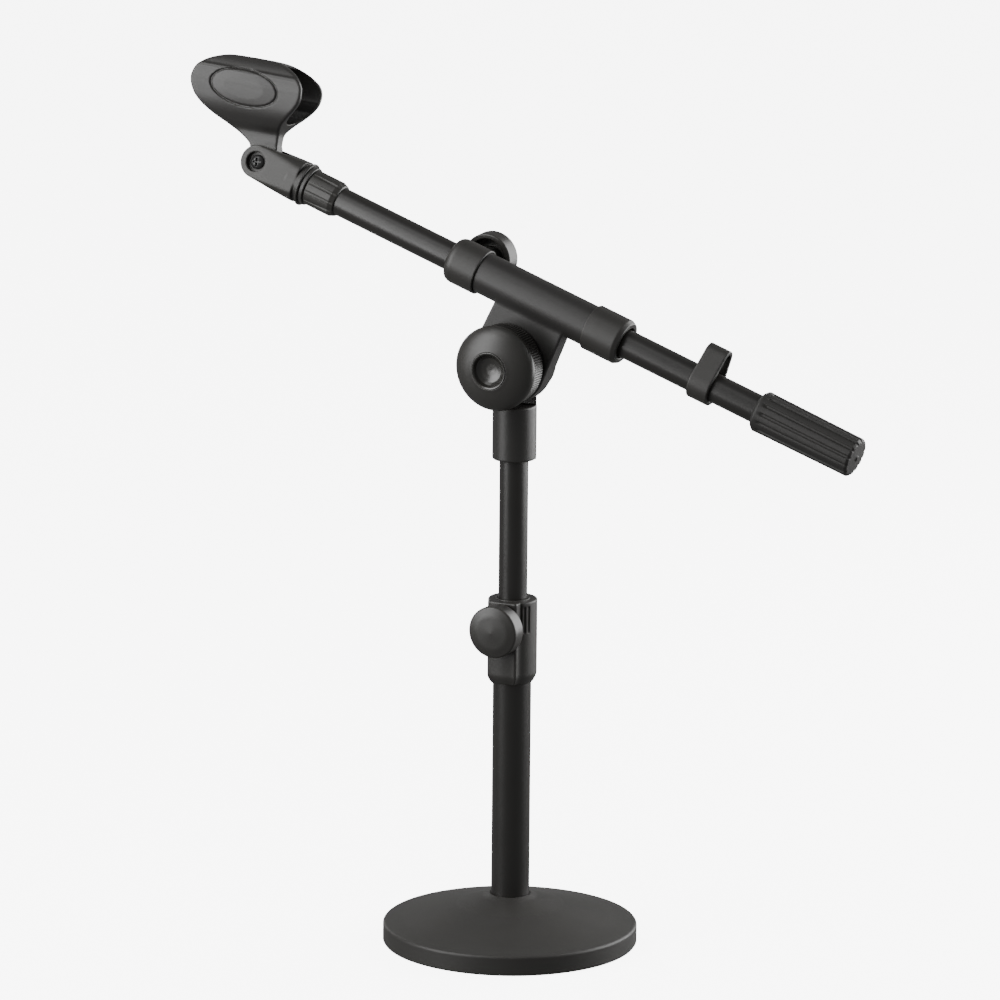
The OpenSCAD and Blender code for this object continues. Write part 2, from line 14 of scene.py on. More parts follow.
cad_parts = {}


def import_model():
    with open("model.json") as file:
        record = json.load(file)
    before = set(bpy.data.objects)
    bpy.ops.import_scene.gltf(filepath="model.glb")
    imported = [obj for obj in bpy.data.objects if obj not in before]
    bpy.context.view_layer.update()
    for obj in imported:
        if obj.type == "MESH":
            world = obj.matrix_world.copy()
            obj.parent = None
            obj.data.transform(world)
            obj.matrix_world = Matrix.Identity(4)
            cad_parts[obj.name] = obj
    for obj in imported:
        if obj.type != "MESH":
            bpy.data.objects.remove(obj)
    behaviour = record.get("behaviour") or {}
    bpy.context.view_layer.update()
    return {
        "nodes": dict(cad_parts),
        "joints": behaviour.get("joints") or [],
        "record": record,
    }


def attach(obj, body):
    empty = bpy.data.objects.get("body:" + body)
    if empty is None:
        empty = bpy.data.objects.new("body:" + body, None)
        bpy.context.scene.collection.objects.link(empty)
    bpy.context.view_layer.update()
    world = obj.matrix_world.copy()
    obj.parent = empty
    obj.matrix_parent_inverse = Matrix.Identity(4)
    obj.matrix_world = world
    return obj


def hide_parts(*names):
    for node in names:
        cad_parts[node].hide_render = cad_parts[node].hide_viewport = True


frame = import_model()

MM = 0.001
joints = {joint["name"]: joint for joint in frame["joints"]}
mounts = {mount["name"]: mount for mount in frame["record"]["mounts"]}

# ---------------------------------------------------------------- sizes, in millimetres

BASE_R = 70.5
SEAT_Z = 18.0  # where the lower tube stands in the base
OUTER_TUBE_R = 10.6
OUTER_TUBE_BORE = 9.1
TUBE_R = 7.95  # sliding tube and boom
TUBE_WALL = 1.2
COLUMN_START, COLUMN_TOP = 107.5, 300.0
CLAMP_TOP = 196.5
CLAMP_LEN = 47.0
CLAMP_R = 13.6
LEDGE = 8.5  # depth of the lower tube's top below the clamp's top
BUSH_R = 9.58
THUMB_R = 14.5
HEIGHT_KNOB_RIM = 14.95  # distance of a thumb knob's rear edge from its tube's axis
LOCK_KNOB_RIM = 20.0
INSERT_R = 4.6  # recess for a threaded insert
SOCKET_R = 12.05
SOCKET_FOOT = 275.0
SHELF_DROP = 24.5  # from the tilt joint's axis down to the socket's shoulder
EAR_R = 20.5
EAR_FRONT, EAR_BACK = 3.75, 10.3
BOLT_HOLE_R = 4.0
TILT_KNOB_R = 23.6
PLATE_R = 22.8
SLEEVE_R = 11.55
SLEEVE_START, SLEEVE_END = -50.0, 54.0
COLLAR_R = 12.9
FRONT_COLLAR_START, FRONT_COLLAR_END = -53.7, -33.9
REAR_COLLAR_START, REAR_COLLAR_END = 36.3, 58.0
LOCK_STATION = -43.0  # where the lock screw stands along the boom
LOCK_HOLE_R = 3.3
BOOM_START = -130.0
GRIP_START, GRIP_END = 143.2, 204.2
NUT_START, NUT_END = -146.7, -127.5
WASHER_START, WASHER_END = -149.3, -146.75
FORK_END = 29.95  # end of the clip base, from its pivot
CLIP_PIN_R = 2.5
PIN_HOLE_R = 2.55
CRADLE_R = 13.2
CRADLE_WALL = 2.5
CRADLE_AXIS = 42.4  # height above the clip's pivot
TONGUE_HALF = 4.0
RUN = 0.05  # gap of a fit that moves
GLUED = 0.02  # gap of a fit that doesn't

# ---------------------------------------------------------------- places


def place(origin, x_axis, z_axis):
    """A local frame: origin in metres in the row frame, and the directions of its X and Z."""
    x = Vector(x_axis).normalized()
    z = Vector(z_axis).normalized()
    y = z.cross(x)
    m = Matrix((x, y, z)).transposed().to_4x4()
    m.translation = Vector(origin) / MM
    return m


boom_dir = Vector(joints["boom_roll"]["axis"])
boom_up = boom_dir.cross(Vector((0, 1, 0)))
head_axis = Vector(joints["mic_clip_tilt"]["axis"])
head_up = boom_dir.cross(head_axis)
cradle_dir = -Vector(mounts["mic_cradle"]["axis"])
cradle_up = cradle_dir.cross(head_axis)
pivot = Vector(joints["boom_tilt"]["pos_m"])
boom_mid = Vector(joints["boom_roll"]["pos_m"])
head_pivot = Vector(joints["mic_clip_tilt"]["pos_m"])
lock_mid = boom_mid + boom_dir * LOCK_STATION * MM
clamp_knob_z = joints["height_knob_turn"]["pos_m"][2]

PILLAR = Matrix.Identity(4)
TILT = place(pivot, boom_dir, boom_up)
SLEEVE = place(boom_mid, boom_dir, boom_up)
BOOM = place(boom_mid, boom_up, boom_dir)
HEAD = place(head_pivot, boom_dir, head_up)
CLIP = place(head_pivot, cradle_dir, cradle_up)
HEIGHT_KNOB = place((0, 0, clamp_knob_z), (1, 0, 0), (0, -1, 0))
TILT_KNOB = place(pivot, (1, 0, 0), (0, -1, 0))
TILT_BOLT = place(pivot, (1, 0, 0), (0, 1, 0))
LOCK_KNOB = place(lock_mid, boom_dir, (0, 1, 0))

# ---------------------------------------------------------------- making meshes


def piece(name, verts, faces, where, body, slot, stands_for=(), sharp=38.0):
    """A mesh from millimetres in a local place, smooth but for edges sharper than sharp degrees."""
    turn = np.array(where.to_3x3())
    shift = np.array(where.translation)
    points = (np.asarray(verts) @ turn.T + shift) * MM
    sizes = np.array([len(face) for face in faces], np.int32)
    corners = faces
    if isinstance(faces, list):
        corners = np.concatenate([np.asarray(face, np.int32) for face in faces])
    mesh = bpy.data.meshes.new(name)
    mesh.vertices.add(len(points))
    mesh.vertices.foreach_set("co", points.ravel())
    mesh.loops.add(int(sizes.sum()))
    mesh.loops.foreach_set("vertex_index", np.ascontiguousarray(corners, np.int32).ravel())
    mesh.polygons.add(len(sizes))
    mesh.polygons.foreach_set("loop_start", np.cumsum(sizes, dtype=np.int32) - sizes)
    mesh.update(calc_edges=True)
    mesh.polygons.foreach_set("use_smooth", np.ones(len(sizes), bool))
    mesh.set_sharp_from_angle(angle=math.radians(sharp))
    mesh.materials.append(FINISHES[slot])
    obj = bpy.data.objects.new(name, mesh)
    bpy.context.scene.collection.objects.link(obj)
    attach(obj, body)
    if stands_for:
        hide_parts(*stands_for)
    return obj


def rounded(corners, steps=5, ease=0.3):
    """A closed outline through (x, y, fillet radius) corners, its straights pinned near both ends."""
    count = len(corners)
    points = []
    for i in range(count):
        before = np.array(corners[i - 1][:2], float)
        here = np.array(corners[i][:2], float)
        after = np.array(corners[(i + 1) % count][:2], float)
        fillet = corners[i][2] if len(corners[i]) > 2 else 0.0
        back = (before - here) / np.linalg.norm(before - here)
        on = (after - here) / np.linalg.norm(after - here)
        half = math.acos(max(-1.0, min(1.0, float(back @ on)))) / 2
        if fillet <= 0 or half > math.radians(88.5):
            arc = [here]
        else:
            reach = fillet / math.tan(half)
            limit = 0.49 * min(np.linalg.norm(before - here), np.linalg.norm(after - here))
            reach = min(reach, limit)
            radius = reach * math.tan(half)
            middle = here + (back + on) / np.linalg.norm(back + on) * radius / math.sin(half)
            a = here + back * reach - middle
            b = here + on * reach - middle
            sweep = math.atan2(a[0] * b[1] - a[1] * b[0], float(a @ b))
            arc = []
            for k in range(steps + 1):
                t = sweep * k / steps
                spun = (a[0] * math.cos(t) - a[1] * math.sin(t), a[0] * math.sin(t) + a[1] * math.cos(t))
                arc.append(middle + np.array(spun))
        points.append(arc)
    outline = []
    for i, arc in enumerate(points):
        following = points[(i + 1) % count][0]
        outline.extend(arc)
        gap = following - arc[-1]
        length = np.linalg.norm(gap)
        if length > 4 * ease:
            outline.append(arc[-1] + gap * ease / length)
            outline.append(following - gap * ease / length)
    return [(float(p[0]), float(p[1])) for p in outline]


def turned(profile, sides=128, wave=None):
    """A closed (radius, height) outline turned about Z; wave(angle, radius, height) moves a radius."""
    profile = [(max(r, 0.0), z) for r, z in profile]
    area = sum(a[0] * b[1] - b[0] * a[1] for a, b in zip(profile, profile[1:] + profile[:1]))
    if area < 0:
        profile.reverse()
    verts = []
    rings = []
    for r, z in profile:
        if r < 1e-6:
            rings.append([len(verts)] * sides)
            verts.append((0.0, 0.0, z))
            continue
        rings.append(list(range(len(verts), len(verts) + sides)))
        for k in range(sides):
            angle = 2 * math.pi * k / sides
            radius = wave(angle, r, z) if wave else r
            verts.append((radius * math.cos(angle), radius * math.sin(angle), z))
    faces = []
    for ring, following in zip(rings, rings[1:] + rings[:1]):
        for k in range(sides):
            a, b = ring[k], ring[(k + 1) % sides]
            c, d = following[(k + 1) % sides], following[k]
            corners = [a, b, c, d]
            face = [v for j, v in enumerate(corners) if v != corners[j - 1]]
            if len(face) > 2:
                faces.append(face)
    return verts, faces


class Clay:
    """A grid for solids written as signed distances in millimetres, negative inside."""

    def __init__(self, low, high, step):
        self.step = step
        self.low = np.array(low, float) - 3 * step
        spans = [np.arange(a, b + 3 * step, step, dtype=np.float32) for a, b in zip(self.low, high)]
        self.x, self.y, self.z = np.meshgrid(*spans, indexing="ij", sparse=True)

    def mesh(self, distance):
        """Vertices and quads of the surface where the distance is zero."""
        band = 3 * self.step
        whole = np.broadcast_to(distance, np.broadcast_shapes(self.x.shape, self.y.shape, self.z.shape))
        grid = openvdb.FloatGrid()
        grid.background = band
        grid.copyFromArray(np.clip(whole, -band, band).astype(np.float32))
        points, quads = grid.convertToQuads(0.0)
        points = points * self.step + self.low
        a, b, c, d = (points[quads[:, k]] for k in range(4))
        volume = (a * np.cross(b, c)).sum() + (a * np.cross(c, d)).sum()
        if volume < 0:
            quads = quads[:, ::-1]
        return points, quads


def extruded(flat, along, start, end, edge):
    """A flat outline's distance carried from start to end, its outer edges rounded by edge."""
    side = flat + edge
    cap = np.abs(along - (start + end) / 2) - (end - start) / 2 + edge
    outside = np.hypot(np.maximum(side, 0), np.maximum(cap, 0))
    return np.minimum(np.maximum(side, cap), 0) + outside - edge


def rod(p, q, along, radius, start, end, edge=0.3):
    """A cylinder about p = q = 0."""
    return extruded(np.hypot(p, q) - radius, along, start, end, edge)


def block(x, y, z, low, high, edge=0.3):
    """A box with rounded edges."""
    far = []
    for value, a, b in zip((x, y, z), low, high):
        far.append(np.abs(value - (a + b) / 2) - (b - a) / 2 + edge)
    outside = np.sqrt(sum(np.maximum(f, 0) ** 2 for f in far))
    return np.minimum(np.maximum(np.maximum(far[0], far[1]), far[2]), 0) + outside - edge


def melt(a, b, blend=0.5):
    """The union of two solids with a fillet about as wide as blend."""
    near = np.maximum(blend - np.abs(a - b), 0) / blend
    return np.minimum(a, b) - near * near * blend / 4


def carve(a, b, blend=0.5):
    """Solid a without solid b, the new edge rounded."""
    return -melt(-a, b, blend)


def common(a, b, blend=0.5):
    """What two solids share, the edge between them rounded."""
    return -melt(-a, -b, blend)


def hexagon(p, q, half):
    """Signed distance in a plane to a regular hexagon; half is half its width across flats."""
    sides = []
    for k in range(3):
        a = math.radians(60 * k)
        sides.append(np.abs(p * math.cos(a) + q * math.sin(a)) - half)
    return np.maximum(np.maximum(sides[0], sides[1]), sides[2])


def mirrored(right):
    """A closed outline from its right half, given upwards."""
    return right + [(-across, up) for across, up in reversed(right)]


def outline_distance(p, q, points):
    """Signed distance in a plane to a closed outline of (p, q) points."""
    nearest = None
    inside = np.ones(np.broadcast_shapes(p.shape, q.shape), np.float32)
    for (ax, ay), (bx, by) in zip(points, points[1:] + points[:1]):
        ex, ey = bx - ax, by - ay
        wx, wy = p - ax, q - ay
        t = np.clip((wx * ex + wy * ey) / (ex * ex + ey * ey), 0, 1)
        gap = (wx - ex * t) ** 2 + (wy - ey * t) ** 2
        nearest = gap if nearest is None else np.minimum(nearest, gap)
        crosses = (ay > q) != (by > q)
        level = ex * (q - ay) / (ey if ey else 1e-9) + ax
        inside = np.where(crosses & (p < level), -inside, inside)
    return np.sqrt(nearest) * inside


def smooth_outline(points, steps=6):
    """A closed Catmull-Rom curve through a few points."""
    knots = np.array(points, float)
    count = len(knots)
    curve = []
    for i in range(count):
        a, b, c, d = (knots[(i + k) % count] for k in (-1, 0, 1, 2))
        square = 2 * a - 5 * b + 4 * c - d
        cube = 3 * b - a - 3 * c + d
        for k in range(steps):
            t = k / steps
            spot = 0.5 * (2 * b + (c - a) * t + square * t * t + cube * t * t * t)
            curve.append((float(spot[0]), float(spot[1])))
    return curve


# ---------------------------------------------------------------- finishes

TINT = 0.12  # how far a finish drifts either side of its colour


def finish(name, colour, rough, rough_spread, grain, depth, metal=0.0, coat=0.0):
    """A surface with fine grain in its bump and slow drift in its colour and roughness.

    grain is the grain's size and depth its height, both in millimetres.
    """
    material = bpy.data.materials.new(name)
    material.use_nodes = True
    tree = material.node_tree
    nodes, links = tree.nodes, tree.links
    shader = nodes["Principled BSDF"]
    shader.inputs["Metallic"].default_value = metal
    shader.inputs["Coat Weight"].default_value = coat
    shader.inputs["Coat Roughness"].default_value = 0.25
    where = nodes.new("ShaderNodeTexCoord")

    slow = nodes.new("ShaderNodeTexNoise")
    slow.inputs["Scale"].default_value = 45.0
    slow.inputs["Detail"].default_value = 5.0
    slow.inputs["Roughness"].default_value = 0.6
    links.new(where.outputs["Object"], slow.inputs["Vector"])

    shade = nodes.new("ShaderNodeMix")
    shade.data_type = "RGBA"
    shade.inputs["A"].default_value = [c * (1 - TINT) for c in colour] + [1.0]
    shade.inputs["B"].default_value = [c * (1 + TINT) for c in colour] + [1.0]
    links.new(slow.outputs["Fac"], shade.inputs["Factor"])
    links.new(shade.outputs["Result"], shader.inputs["Base Color"])

    fine = nodes.new("ShaderNodeTexNoise")
    fine.inputs["Scale"].default_value = 1.0 / (grain * MM)
    fine.inputs["Detail"].default_value = 3.0
    links.new(where.outputs["Object"], fine.inputs["Vector"])

    both = nodes.new("ShaderNodeMath")
    both.operation = "ADD"
    links.new(slow.outputs["Fac"], both.inputs[0])
    links.new(fine.outputs["Fac"], both.inputs[1])

    gloss = nodes.new("ShaderNodeMapRange")
    gloss.inputs["From Min"].default_value = 0.6
    gloss.inputs["From Max"].default_value = 1.4
    gloss.inputs["To Min"].default_value = rough - rough_spread
    gloss.inputs["To Max"].default_value = rough + rough_spread
    links.new(both.outputs["Value"], gloss.inputs["Value"])
    links.new(gloss.outputs["Result"], shader.inputs["Roughness"])

    bump = nodes.new("ShaderNodeBump")
    bump.inputs["Strength"].default_value = 0.6
    bump.inputs["Distance"].default_value = depth * MM
    links.new(fine.outputs["Fac"], bump.inputs["Height"])
    links.new(bump.outputs["Normal"], shader.inputs["Normal"])
    return material


FINISHES = {
    "cast_base": finish("cast_base", (0.025, 0.024, 0.022), 0.50, 0.05, 0.55, 0.05),
    "rubber_sheet": finish("rubber_sheet", (0.016, 0.016, 0.016), 0.75, 0.08, 0.7, 0.08),
    "plated_steel": finish("plated_steel", (0.56, 0.56, 0.55), 0.30, 0.08, 0.5, 0.01, metal=1.0),
    "tube_black": finish("tube_black", (0.015, 0.014, 0.013), 0.34, 0.04, 0.45, 0.02),
    "clamp_plastic": finish("clamp_plastic", (0.024, 0.023, 0.021), 0.44, 0.05, 0.35, 0.03),
    "bush_plastic": finish("bush_plastic", (0.034, 0.033, 0.031), 0.40, 0.05, 0.4, 0.02),
    "knob_plastic": finish("knob_plastic", (0.023, 0.022, 0.020), 0.40, 0.04, 0.4, 0.02),
    "cap_gloss": finish("cap_gloss", (0.023, 0.022, 0.020), 0.26, 0.04, 0.5, 0.008, coat=0.3),
    "black_steel": finish("black_steel", (0.020, 0.020, 0.020), 0.35, 0.06, 0.4, 0.02),
    "brass": finish("brass", (0.70, 0.52, 0.25), 0.30, 0.06, 0.5, 0.01, metal=1.0),
    "guide_plastic": finish("guide_plastic", (0.70, 0.69, 0.65), 0.45, 0.05, 0.5, 0.02),
    "bracket_cast": finish("bracket_cast", (0.020, 0.019, 0.018), 0.42, 0.05, 0.45, 0.012),
    "grip_rubber": finish("grip_rubber", (0.019, 0.018, 0.017), 0.50, 0.06, 0.4, 0.04),
    "clip_plastic": finish("clip_plastic", (0.022, 0.021, 0.020), 0.42, 0.04, 0.4, 0.015),
}
for node in frame["nodes"].values():
    for held in node.material_slots:
        kept = held.material.name.split(".")[0] if held.material else ""
        if kept in FINISHES:
            held.material = FINISHES[kept]

# ---------------------------------------------------------------- base


def base_plate():
    """Round casting: a drum edge, a cone, a collar round the tube and a pocket underneath."""
    corners = [
        (68.8, 0.4, 0.2), (69.8, 0.4, 0.5), (BASE_R, 1.4, 0.4), (BASE_R, 11.4, 1.7), (60, 13.9, 30),
        (30, 21.8, 60), (15, 26.4, 14), (11.4, 28, 0.5), (OUTER_TUBE_R + RUN, 27.8, 0.1),
        (OUTER_TUBE_R + RUN, SEAT_Z), (4.2, SEAT_Z), (4.2, 9), (13, 9), (13, 1.2), (68.8, 1.2),
    ]
    verts, faces = turned(rounded(corners, 8), 256)
    piece("base_plate_cast", verts, faces, PILLAR, "base", "cast_base", ["base_plate"])


def ring_profile(inner, outer, start, end, edge):
    """A tube's wall with eased ends."""
    return rounded([(inner, start, edge), (outer, start, edge), (outer, end, edge), (inner, end, edge)])


def lower_tube():
    """Fixed tube of the column, from its seat in the base to the flange of the bush."""
    wall = ring_profile(OUTER_TUBE_BORE, OUTER_TUBE_R, SEAT_Z, CLAMP_TOP - LEDGE, 0.3)
    piece("outer_tube_painted", *turned(wall, 160), PILLAR, "base", "tube_black", ["outer_tube"])


def height_clamp():
    """Moulded clamp: a barrel with a flat block and a screw boss in front."""
    bottom = CLAMP_TOP - CLAMP_LEN
    knob_z = clamp_knob_z / MM
    clay = Clay((-14.5, -16, bottom), (14.5, 14.5, CLAMP_TOP + 0.5), 0.3)
    x, y, z = clay.x, clay.y, clay.z
    # Outline seen from above: a round barrel with a block in front
    edge = 1.2
    side = np.abs(x) - 9 + edge
    face = np.abs(y + 6.75) - 6.75 + edge
    outside = np.hypot(np.maximum(side, 0), np.maximum(face, 0))
    front = np.minimum(np.maximum(side, face), 0) + outside - edge
    outline = melt(np.hypot(x, y) - CLAMP_R, front, 1.6)
    solid = extruded(outline, z, bottom, CLAMP_TOP, 0.9)
    # Lead-in at the foot: slope is its run over its rise, and the factor keeps it a true distance
    lead_in, slope = 2.2, 0.524
    foot = (outline + lead_in - (z - bottom) * slope) * 0.886
    solid = common(solid, foot, 0.8)
    boss = rod(x, z - knob_z, y, 9.2, -14.4, 0, 0.5)
    solid = melt(solid, boss, 0.9)
    # A slit beside the front block, and two upright pockets further round the barrel
    slit = block(x - 9.9, y + 9.8, z, (-0.55, -3.4, knob_z - 6), (0.55, 1.2, CLAMP_TOP + 2), 0.2)
    solid = carve(solid, slit, 0.35)
    for turn in (22, 34):
        a = math.radians(turn)
        p = x * math.cos(a) - y * math.sin(a)
        q = x * math.sin(a) + y * math.cos(a)
        low = (CLAMP_R - 0.7, -0.7, knob_z - 3)
        high = (CLAMP_R + 2, 0.7, CLAMP_TOP - 2.6)
        solid = carve(solid, block(p, q, z, low, high, 0.3), 0.3)
    # Seats of the lower tube, the bush and the threaded insert
    solid = carve(solid, rod(x, y, z, OUTER_TUBE_R + GLUED, bottom - 5, CLAMP_TOP - 5, 0.1), 0.3)
    solid = carve(solid, rod(x, y, z, BUSH_R + GLUED, bottom, CLAMP_TOP + 5, 0.1), 0.4)
    solid = carve(solid, rod(x, z - knob_z, y, INSERT_R, -30, -9, 0.1), 0.3)
    piece("height_clamp_moulded", *clay.mesh(solid), PILLAR, "base", "clamp_plastic", ["height_clamp"])


def clamp_bush():
    """Liner inside the lower tube, a flange on the tube's top and a lip in the clamp's mouth."""
    foot, seat, rim = CLAMP_TOP - 30.5, CLAMP_TOP - LEDGE, CLAMP_TOP + 0.3
    liner_r, flange_r, flange_top = OUTER_TUBE_BORE - GLUED, 10.5, CLAMP_TOP - 5.6
    corners = [
        (TUBE_R + RUN, foot), (liner_r, foot), (liner_r, seat), (flange_r, seat), (flange_r, flange_top),
        (BUSH_R, flange_top), (BUSH_R, rim, 0.4), (TUBE_R + 0.75, rim, 0.3), (TUBE_R + RUN, rim - 0.8),
    ]
    verts, faces = turned(rounded(corners), 128)
    piece("clamp_bush_lip", verts, faces, PILLAR, "base", "bush_plastic", ["clamp_bush"])


# ---------------------------------------------------------------- knobs


def thumb_knob(name, where, rim, body, stands_for):
    """A round thumb knob, hollow at the back. Its axis is Z and rim is the height of its rear edge."""
    r = THUMB_R
    corners = [
        (3, rim + 0.6), (6, rim + 0.6, 0.3), (6, rim + 7.4, 0.8), (r - 3.4, rim + 7.4, 1.2),
        (r - 3.0, rim, 0.6), (r - 0.3, rim, 0.8), (r, rim + 9.9, 1.3), (r - 5, rim + 11.3, 12),
        (0, rim + 12), (0, rim + 6.4), (4.4, rim + 6.4), (4.4, rim + 3.4), (3, rim + 3.4),
    ]
    piece(name, *turned(rounded(corners, 7), 144), where, body, "knob_plastic", stands_for)


def tilt_knob():
    """The big knob: knurled skirt, domed head and a recess that holds a glossy dished cap."""
    r = TILT_KNOB_R
    back, widest, dome, dish, floor_z = 10.2, 23.5, 9.5, 9.8, 26.0
    skirt_top, teeth, depth = widest - 2.6, 96, 0.42
    head = []
    for k in range(-2, 13):
        a = math.radians(k * 5)
        head.append((r * math.cos(a), widest + dome * math.sin(a), 0))
    corners = [
        (7, back), (r - 1.9, back, 0.6), (r - 1.1, back + 0.9, 0.4), (r - 1.1, widest - 2.5, 0.3), *head,
        (dish + 0.9, widest + dome * 0.905, 0.7), (dish + 0.1, widest + dome * 0.88, 0.4),
        (dish, floor_z), (0, floor_z), (0, 22.8), (7, 22.8),
    ]

    def knurl(angle, radius, height):
        if not back + 0.9 < height < skirt_top or radius < r - 2:
            return radius
        ease = min(1.0, (height - back - 0.9) / 0.5, (skirt_top - height) / 0.5)
        return radius - depth * ease * (0.5 + 0.5 * math.cos(teeth * angle))

    verts, faces = turned(rounded(corners, 6, 0.5), 768, knurl)
    piece("tilt_knob_domed", verts, faces, TILT_KNOB, "tilt_knob", "knob_plastic", ["tilt_knob"])
    cap = rounded([
        (0, floor_z + GLUED), (9.5, floor_z + GLUED), (9.5, 31.7), (10.6, 31.9, 0.2), (10.1, 32.7, 0.4),
        (9.2, 32.3, 0.5), (8.2, 30.3, 0.8), (6.6, 28.7, 2.5), (3.4, 27.9, 6), (0, 27.7),
    ])
    verts, faces = turned(cap, 160)
    piece("tilt_knob_cap_dish", verts, faces, TILT_KNOB, "tilt_knob", "cap_gloss", ["tilt_knob_cap"])


# ---------------------------------------------------------------- column


def sliding_tube():
    """Upper tube of the column, sliding inside the lower one."""
    wall = ring_profile(TUBE_R - TUBE_WALL, TUBE_R, COLUMN_START, COLUMN_TOP, 0.3)
    piece("inner_tube_painted", *turned(wall, 144), PILLAR, "column", "tube_black", ["inner_tube"])


def pivot_socket():
    """Socket on the sliding tube, its rear half running up into the tilt joint's round ear."""
    pivot_z = pivot.z / MM
    foot, shelf, pin_hole_r = SOCKET_FOOT, pivot_z - SHELF_DROP, 1.5
    clay = Clay((-21, -12.5, foot), (21, 12.5, pivot_z + 21), 0.32)
    x, y, z = clay.x, clay.y, clay.z
    barrel = rod(x, y, z, SOCKET_R, foot, shelf, 1.1)
    stem = common(rod(x, y, z, SOCKET_R, foot, shelf + 12, 0.5), EAR_FRONT - y, 0.6)
    disc = rod(x, z - pivot_z, y, EAR_R, EAR_FRONT, EAR_BACK, 0.8)
    solid = melt(melt(disc, stem, 2.0), barrel, 0.8)
    solid = carve(solid, rod(x, y, z, TUBE_R + GLUED, foot - 5, COLUMN_TOP, 0.1), 0.4)
    solid = carve(solid, rod(x, z - pivot_z, y, BOLT_HOLE_R, -20, 20, 0.1), 0.3)
    solid = carve(solid, rod(x, z - foot - 10, y, pin_hole_r, 0, 20, 0.1), 0.3)
    piece("pivot_socket_cast", *clay.mesh(solid), PILLAR, "column", "bracket_cast", ["pivot_socket"])


def tilt_bolt():
    """Button head at the rear with a hexagon socket, and the plain shank."""
    clay = Clay((-9, -9, 10), (9, 9, 15), 0.25)
    x, y, z = clay.x, clay.y, clay.z
    dome = np.sqrt(x * x + y * y + (z - 4.5) ** 2) - 10.2
    head = common(rod(x, y, z, 8.5, EAR_BACK, 14.5, 0.4), dome, 0.6)
    head = carve(head, extruded(hexagon(x, y, 2.5), z, 12.2, 20, 0.1), 0.3)
    piece("tilt_bolt_head", *clay.mesh(head), TILT_BOLT, "column", "plated_steel")
    shank_r = BOLT_HOLE_R - RUN
    shank = rounded([(0, -22), (shank_r, -22, 0.4), (shank_r, 10.6), (0, 10.6)])
    piece("tilt_bolt_shank", *turned(shank, 64), TILT_BOLT, "column", "plated_steel", ["tilt_bolt"])


# ---------------------------------------------------------------- boom holder


def bracket():
    """Round friction plate running up into the sleeve."""
    drop = (boom_mid - pivot).dot(boom_up) / MM
    clay = Clay((-51, -12.5, -25), (55, 12.5, drop + 12.5), 0.42)
    x, y, z = clay.x, clay.y, clay.z
    disc = np.hypot(x, z) - PLATE_R
    web = outline_distance(x, z, [(22.75, -1.6), (25.2, drop), (-18, drop), (-22.6, 3.2)])
    plate = extruded(np.minimum(disc, web), y, -9, 2.5, 1.0)
    tube = rod(y, z - drop, x, SLEEVE_R, SLEEVE_START, SLEEVE_END, 0.3)
    solid = melt(plate, tube, 1.6)
    solid = carve(solid, rod(y, z - drop, x, 8.9, -60, 60, 0.1), 0.3)
    solid = carve(solid, rod(x, z, y, BOLT_HOLE_R, -20, 20, 0.1), 0.3)
    solid = carve(solid, rod(x - LOCK_STATION, z - drop, y, LOCK_HOLE_R, 0, 20, 0.1), 0.3)
    piece("boom_bracket_cast", *clay.mesh(solid), TILT, "holder", "bracket_cast", ["boom_bracket"])


def front_collar():
    """Collar on the sleeve's microphone end, with the boss of the lock screw at the rear."""
    clay = Clay((-55, -13.5, -13.5), (-33, 19.5, 13.5), 0.34)
    x, y, z = clay.x, clay.y, clay.z
    reach = np.hypot(y, z)
    shell = rod(y, z, x, COLLAR_R, FRONT_COLLAR_START, FRONT_COLLAR_END, 0.45)
    # Its front edge slopes in; the factor keeps the slope a true distance
    nose = (reach - COLLAR_R + 2.1 - (x - FRONT_COLLAR_START) * 0.85) * 0.76
    solid = common(shell, nose, 1.6)
    boss = rod(x - LOCK_STATION, z, y, 7.4, 4, 18.5, 0.6)
    solid = melt(solid, boss, 1.4)
    solid = carve(solid, rod(y, z, x, SLEEVE_R + GLUED, SLEEVE_START, -30, 0.05), 0.3)
    solid = carve(solid, rod(y, z, x, 8.5, -60, -40, 0.1), 0.6)
    solid = carve(solid, rod(x - LOCK_STATION, z, y, LOCK_HOLE_R, 0, 30, 0.1), 0.2)
    solid = carve(solid, rod(x - LOCK_STATION, z, y, INSERT_R, 12.6, 30, 0.1), 0.3)
    piece("front_collar_moulded", *clay.mesh(solid), SLEEVE, "holder", "clamp_plastic", ["front_collar"])


def rear_collar():
    """Collar on the sleeve's grip end, with a lip over the sleeve's edge."""
    start, end, lip_r = REAR_COLLAR_START, REAR_COLLAR_END, 9.0
    corners = [
        (SLEEVE_R + GLUED, start), (COLLAR_R, start, 0.45), (COLLAR_R, end - 2.4, 1.6),
        (COLLAR_R - 1.3, end, 0.9), (lip_r, end, 0.5), (lip_r, SLEEVE_END + GLUED),
        (SLEEVE_R + GLUED, SLEEVE_END + GLUED),
    ]
    verts, faces = turned(rounded(corners, 7), 160)
    piece("rear_collar_moulded", verts, faces, BOOM, "holder", "clamp_plastic", ["rear_collar"])


# ---------------------------------------------------------------- boom


def boom_tube():
    """Boom, from inside the lock nut to inside the grip."""
    wall = ring_profile(TUBE_R - TUBE_WALL, TUBE_R, BOOM_START, GRIP_END - 3, 0.3)
    piece("boom_tube_painted", *turned(wall, 144), BOOM, "boom", "tube_black", ["boom_tube"])


